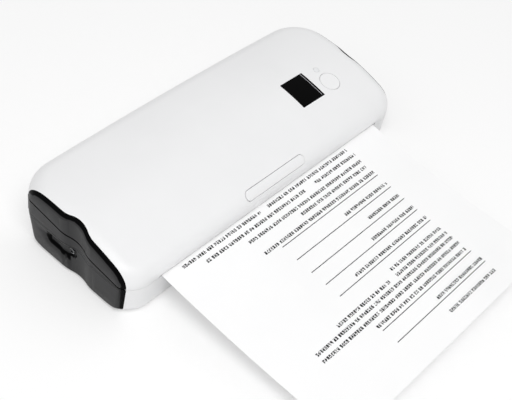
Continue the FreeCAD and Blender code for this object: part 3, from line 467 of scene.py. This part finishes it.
steel = finish("bright_steel", steel_grey, steel_roughness, steel_grain, steel_grain_depth,
               spread=0.12, metallic=1.0, wear=steel_wear, stretch=along_machine)
dress(steel, "platen_shaft", "hinge_pins", "gear_plate", "left_bracket", "idler_stud", "tear_strip",
      "usb_socket", "head_springs", "latch_springs", "motor")

# The coil springs behind the print head and the latch bar shorten as those are pushed back.
# Each pair is copied into a piece of its own that is carried with the lid.


def give_way(node, name):
    """A copy of a pair of springs as a piece of its own, carried with the lid, in place of the CAD node.
    """
    spring = copied(node, name)
    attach(spring, "lid")
    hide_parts(node)
    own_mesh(spring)


give_way("head_springs", "head_springs_live")
give_way("latch_springs", "latch_springs_live")

# The screws are blackened, with a coarser finish that wears to grey at the rims of their heads.

blackened_grey = (0.16, 0.16, 0.17)
blackened_roughness = 0.38

blackened = finish("blackened_steel", blackened_grey, blackened_roughness, steel_grain,
                   steel_grain_depth, spread=0.2, metallic=1.0, wear=steel_wear)
dress(blackened, "base_screws", "board_screws", "frame_screws")

# The gears, the bushes and the guide roller are natural acetal, a waxy off-white, and the
# motor's pinion is cut from brass.

acetal_white = (0.78, 0.765, 0.71)
acetal_roughness = 0.4
brass_yellow = (0.72, 0.52, 0.22)
brass_roughness = 0.28
brass_wear = (0.9, 0.75, 0.45)

acetal = finish("natural_acetal", acetal_white, acetal_roughness, nylon_grain, shell_grain_depth,
                spread=0.05, wear=shell_wear)
dress(acetal, "platen_gear", "idler_gear", "platen_bushes", "guide_roller")
brass = finish("cut_brass", brass_yellow, brass_roughness, steel_grain, steel_grain_depth,
               spread=0.15, metallic=1.0, wear=brass_wear)
dress(brass, "motor_pinion")

# The circuit boards are green lacquered laminate. Copper tracks show through the lacquer as
# paler lines, and the small round pads are plated in gold.

lacquer_green = (0.012, 0.11, 0.045)
track_green = (0.03, 0.2, 0.09)
pad_gold = (0.7, 0.5, 0.2)
lacquer_roughness = 0.32
track_pitch = 0.0035
pad_pitch = 0.0042
track_share = 0.09
track_mess = 0.55
pad_share = 0.13
line_core = 0.7
chip_black = (0.02, 0.02, 0.021)
chip_roughness = 0.55
chip_grain_depth = 0.00001
chip_wear = (0.07, 0.07, 0.07)


def board_pattern(tree, shade, gloss):
    point = tree.nodes.new("ShaderNodeTexCoord")
    cells = tree.nodes.new("ShaderNodeTexVoronoi")
    cells.feature = "DISTANCE_TO_EDGE"
    cells.inputs["Scale"].default_value = 1.0 / track_pitch
    cells.inputs["Randomness"].default_value = track_mess
    tree.links.new(point.outputs["Object"], cells.inputs["Vector"])
    tracks = ramp(tree, cells.outputs["Distance"], track_share, track_share * line_core)
    pads = tree.nodes.new("ShaderNodeTexVoronoi")
    pads.inputs["Scale"].default_value = 1.0 / pad_pitch
    tree.links.new(point.outputs["Object"], pads.inputs["Vector"])
    dots = ramp(tree, pads.outputs["Distance"], pad_share, pad_share * line_core)
    shade = over(tree, tracks, shade, track_green)
    return over(tree, dots, shade, pad_gold), gloss


board = finish("lacquered_board", lacquer_green, lacquer_roughness, nylon_grain, shell_grain_depth,
               pattern=board_pattern)
dress(board, "main_board", "usb_board", "control_board")
chip = finish("moulded_chip", chip_black, chip_roughness, shell_grain, chip_grain_depth,
              spread=0.1, wear=chip_wear)
dress(chip, "board_chips")

# The battery is wrapped in a blue shrink film that lies in faint wrinkles over its cells.

film_blue = (0.03, 0.09, 0.26)
film_roughness = 0.25
film_wrinkle = 0.006
film_wrinkle_depth = 0.0003
film_wear = (0.12, 0.2, 0.4)
film_stretch = (0.4, 1.0, 1.0)

film = finish("shrink_film", film_blue, film_roughness, film_wrinkle, film_wrinkle_depth,
              spread=0.1, wear=film_wear, stretch=film_stretch)
dress(film, "battery_pack")

# The print head is a strip of white ceramic with a dark glazed heater line along it, glued
# under an aluminium heat sink that was extruded and left bare.

ceramic_white = (0.74, 0.72, 0.67)
heater_brown = (0.05, 0.03, 0.02)
heater_half = 0.0005
heater_core = 0.8
platen_line = -0.036
ceramic_roughness = 0.25
aluminium_grey = (0.72, 0.73, 0.74)
aluminium_roughness = 0.36
aluminium_wear = (0.85, 0.85, 0.86)


def head_pattern(tree, shade, gloss):
    along = place_of(tree)[1]
    away = maths(tree, "ABSOLUTE", maths(tree, "SUBTRACT", along, platen_line))
    heater = ramp(tree, away, heater_half, heater_half * heater_core)
    return over(tree, heater, shade, heater_brown), gloss


ceramic = finish("glazed_ceramic", ceramic_white, ceramic_roughness, nylon_grain, 0.0,
                 pattern=head_pattern)
dress(ceramic, "print_head")
aluminium = finish("extruded_aluminium", aluminium_grey, aluminium_roughness, steel_grain,
                   steel_grain_depth, spread=0.08, metallic=1.0, wear=aluminium_wear,
                   stretch=along_machine)
dress(aluminium, "head_heatsink")

# The paper is coated thermal paper, smooth and very white. On the roll its edges show as fine
# rings round a core of brown card, whose own plies show as rings too.

paper_white = (0.97, 0.97, 0.972)
paper_roughness = 0.6
paper_grain = 0.0005
paper_grain_depth = 0.000006
ring_grey = (0.62, 0.62, 0.61)
ring_pitch = 0.0006
card_brown = (0.36, 0.25, 0.15)
card_dark = (0.22, 0.14, 0.08)
card_pitch = 0.0003
card_roughness = 0.8
card_grain_depth = 0.00002
ring_detail = 3.0
ring_low = 0.45
ring_high = 0.7
roll_end = 0.9
roll_low, roll_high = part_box("paper_roll")
roll_centre = (roll_low + roll_high) / 2


def rings(tree, pitch, shade, colour):
    """Fine rings round the roll's axis, on its end faces alone."""
    across, along, up = place_of(tree)
    dy = maths(tree, "SUBTRACT", along, roll_centre.y)
    dz = maths(tree, "SUBTRACT", up, roll_centre.z)
    squares = maths(tree, "ADD", maths(tree, "MULTIPLY", dy, dy), maths(tree, "MULTIPLY", dz, dz))
    out = maths(tree, "SQRT", squares)
    line = tree.nodes.new("ShaderNodeTexNoise")
    line.noise_dimensions = "1D"
    line.inputs["Detail"].default_value = ring_detail
    line.inputs["Scale"].default_value = 1.0 / pitch
    tree.links.new(out, line.inputs["W"])
    facing = ramp(tree, maths(tree, "ABSOLUTE", facing_of(tree)[0]), roll_end, 1.0)
    lines = ramp(tree, line.outputs["Fac"], ring_low, ring_high)
    return over(tree, maths(tree, "MULTIPLY", facing, lines), shade, colour)


def paper_pattern(tree, shade, gloss):
    return rings(tree, ring_pitch, shade, ring_grey), gloss


def card_pattern(tree, shade, gloss):
    return rings(tree, card_pitch, shade, card_dark), gloss


paper = finish("thermal_paper", paper_white, paper_roughness, paper_grain, paper_grain_depth,
               spread=0.02)
dress(paper, "paper_sheet")
wound = finish("wound_paper", paper_white, paper_roughness, paper_grain, paper_grain_depth, spread=0.02,
               pattern=paper_pattern)
dress(wound, "paper_roll")
card = finish("core_card", card_brown, card_roughness, paper_grain, card_grain_depth, spread=0.12,
              pattern=card_pattern)
dress(card, "roll_core")

# The print on the sheet is a page of exercises: lines of small grey-black marks that stand for
# text, and thin rules to write on. The marks are dots of the head, and they spell nothing.

print_black = (0.004, 0.004, 0.005)
print_roughness = 0.55
print_lift = 0.00003
dot = 0.00048
glyph_wide = 3
glyph_high = 5
glyph_gap = 1
word_gap = 2
word_least = 2
word_most = 8
fill_share = 0.78
rule_high = 0.00055
print_seed = 7
print_drop = 0.03
text_rows = [
    (-0.0500, ((-0.088, 0.070),)),
    (-0.0555, ((-0.091, -0.020), (-0.013, 0.070))),
    (-0.0615, ((-0.076, 0.018), (0.029, 0.072))),
    (-0.0680, ((-0.044, 0.071),)),
    (-0.0735, ((0.001, 0.070),)),
    (-0.0798, ((-0.042, 0.071),)),
    (-0.0918, ((0.0246, 0.0705),)),
    (-0.1037, ((0.0354, 0.0688),)),
    (-0.1165, ((0.0231, 0.0690),)),
    (-0.1278, ((-0.0086, 0.0687),)),
    (-0.1398, ((0.0130, 0.0682),)),
    (-0.1450, ((-0.0480, 0.0050), (0.0123, 0.0686))),
    (-0.1500, ((-0.0740, 0.0688),)),
    (-0.1556, ((-0.0746, 0.0684),)),
    (-0.1618, ((-0.0298, 0.0668),)),
    (-0.1737, ((0.0178, 0.0685),)),
    (-0.1854, ((0.0155, 0.0675),)),
]
rule_rows = [
    (-0.0834, -0.0292, 0.0712),
    (-0.0958, -0.0292, 0.0704),
    (-0.1082, -0.0292, 0.0696),
    (-0.1200, -0.0292, 0.0690),
    (-0.1315, -0.0292, 0.0686),
    (-0.1656, -0.0290, 0.0684),
    (-0.1770, -0.0290, 0.0684),
]


def text_line(x0, x1, y, draw):
    """A grid of dots for one line, with the dots between its marks and words taken out."""
    columns = int((x1 - x0) / dot)
    bpy.ops.mesh.primitive_grid_add(x_subdivisions=columns, y_subdivisions=glyph_high, size=1.0,
                                    location=((x0 + x1) / 2, y, print_drop))
    line = bpy.context.object
    line.scale = (columns * dot, glyph_high * dot, 1.0)
    bpy.ops.object.transform_apply(location=True, rotation=False, scale=True)
    kept = []
    column = 0
    while column < columns:
        for _ in range(draw.randint(word_least, word_most)):
            kept.append([[draw.random() < fill_share for _ in range(glyph_high)]
                         for _ in range(glyph_wide)])
            kept.append(None)
            column += glyph_wide + glyph_gap
        kept.append("gap")
        column += word_gap
    cells = []
    for glyph in kept:
        if glyph is None:
            cells.extend([[False] * glyph_high] * glyph_gap)
        elif glyph == "gap":
            cells.extend([[False] * glyph_high] * word_gap)
        else:
            cells.extend(glyph)
    for face in line.data.polygons:
        centre = face.center
        across = min(int((centre.x - x0) / dot), len(cells) - 1)
        up = min(int((centre.y - (y - glyph_high * dot / 2)) / dot), glyph_high - 1)
        face.select = not cells[across][up]
    bpy.ops.object.mode_set(mode="EDIT")
    bpy.ops.mesh.select_mode(type="FACE")
    bpy.ops.mesh.delete(type="FACE")
    bpy.ops.object.mode_set(mode="OBJECT")
    return line


def rule_line(x0, x1, y):
    """One thin printed rule."""
    bpy.ops.mesh.primitive_plane_add(size=1.0, location=((x0 + x1) / 2, y, print_drop))
    line = bpy.context.object
    line.scale = (x1 - x0, rule_high, 1.0)
    bpy.ops.object.transform_apply(location=True, rotation=False, scale=True)
    return line


bpy.ops.object.select_all(action="DESELECT")
draw = random.Random(print_seed)
lines = []
for y, spans in text_rows:
    for x0, x1 in spans:
        lines.append(text_line(x0, x1, y, draw))
        bpy.ops.object.select_all(action="DESELECT")
for y, x0, x1 in rule_rows:
    lines.append(rule_line(x0, x1, y))
    bpy.ops.object.select_all(action="DESELECT")
for line in lines:
    line.select_set(True)
bpy.context.view_layer.objects.active = lines[0]
bpy.ops.object.join()
page_print = bpy.context.object
page_print.name = "page_print"
lay = page_print.modifiers.new("lay", "SHRINKWRAP")
lay.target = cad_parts["paper_sheet"]
lay.wrap_method = "PROJECT"
lay.use_project_z = True
lay.use_positive_direction = False
lay.use_negative_direction = True
lay.offset = print_lift
bpy.ops.object.modifier_apply(modifier="lay")
ink = finish("thermal_print", print_black, print_roughness, paper_grain, 0.0, spread=0.3)
page_print.data.materials.append(ink)
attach(page_print, "base")

# The table is a white board that keeps the object's shadow, under a white surround.

table_half = 1.5
table_roughness = 0.9
table_glow_share = 0.35

bpy.ops.object.select_all(action="DESELECT")
bpy.ops.mesh.primitive_plane_add(size=2 * table_half, location=(0, 0, 0))
table = bpy.context.object
table.name = "table"
board_white = bpy.data.materials.new("table_white")
board_white.use_nodes = True
board_tree = board_white.node_tree
board_skin = board_tree.nodes["Principled BSDF"]
board_skin.inputs["Base Color"].default_value = (1.0, 1.0, 1.0, 1.0)
board_skin.inputs["Roughness"].default_value = table_roughness
board_glow = board_tree.nodes.new("ShaderNodeEmission")
board_glow.inputs["Color"].default_value = (1.0, 1.0, 1.0, 1.0)
board_rays = board_tree.nodes.new("ShaderNodeLightPath")
board_blend = board_tree.nodes.new("ShaderNodeMixShader")
seen_share = maths(board_tree, "MULTIPLY", board_rays.outputs["Is Camera Ray"], table_glow_share)
board_tree.links.new(seen_share, board_blend.inputs[0])
board_tree.links.new(board_skin.outputs[0], board_blend.inputs[1])
board_tree.links.new(board_glow.outputs[0], board_blend.inputs[2])
board_tree.links.new(board_blend.outputs[0], board_tree.nodes["Material Output"].inputs["Surface"])
table.data.materials.append(board_white)

# The light is that of a white studio tent: an even surround, a large soft lamp above the front
# left, and a weak one from the right that lifts that end.

surround_light = 0.55
lamp_aim = (0.0, -0.05, 0.0)
key_place = (-0.4, -0.45, 1.2)
key_side = 0.8
key_watts = 8.9
side_place = (0.95, 0.1, 0.9)
side_side = 0.5
side_watts = 0.6

surround = bpy.data.worlds.new("surround")
bpy.context.scene.world = surround
surround.use_nodes = True
sky = surround.node_tree.nodes["Background"]
sky.inputs["Color"].default_value = (1.0, 1.0, 1.0, 1.0)
rays = surround.node_tree.nodes.new("ShaderNodeLightPath")
sky_strength = ramp(surround.node_tree, rays.outputs["Is Camera Ray"], 0.0, 1.0, surround_light, 1.0)
surround.node_tree.links.new(sky_strength, sky.inputs["Strength"])


def softbox(name, place, side, watts):
    """A square area lamp that looks at the object."""
    light = bpy.data.lights.new(name, "AREA")
    light.shape = "RECTANGLE"
    light.size = side
    light.size_y = side
    light.energy = watts
    lamp = bpy.data.objects.new(name, light)
    bpy.context.scene.collection.objects.link(lamp)
    lamp.location = place
    lamp.rotation_euler = (Vector(lamp_aim) - Vector(place)).to_track_quat("-Z", "Y").to_euler()


softbox("key_softbox", key_place, key_side, key_watts)
softbox("side_softbox", side_place, side_side, side_watts)

# The camera stands where the photograph was taken from, a little rolled.

camera_azimuth = -56.2446
camera_elevation = 45.3646
camera_roll = 11.4955
camera_lens = 75.49
camera_place = (-0.42114, -0.31848, 0.5179)

lens = bpy.data.cameras.new("camera")
lens.lens = camera_lens
camera = bpy.data.objects.new("camera", lens)
bpy.context.scene.collection.objects.link(camera)
turn = Matrix.Rotation(math.radians(camera_azimuth), 4, "Z")
turn = turn @ Matrix.Rotation(math.radians(90.0 - camera_elevation), 4, "X")
turn = turn @ Matrix.Rotation(math.radians(camera_roll), 4, "Z")
camera.matrix_world = Matrix.Translation(camera_place) @ turn
bpy.context.scene.camera = camera
bpy.context.scene.view_settings.view_transform = "Standard"
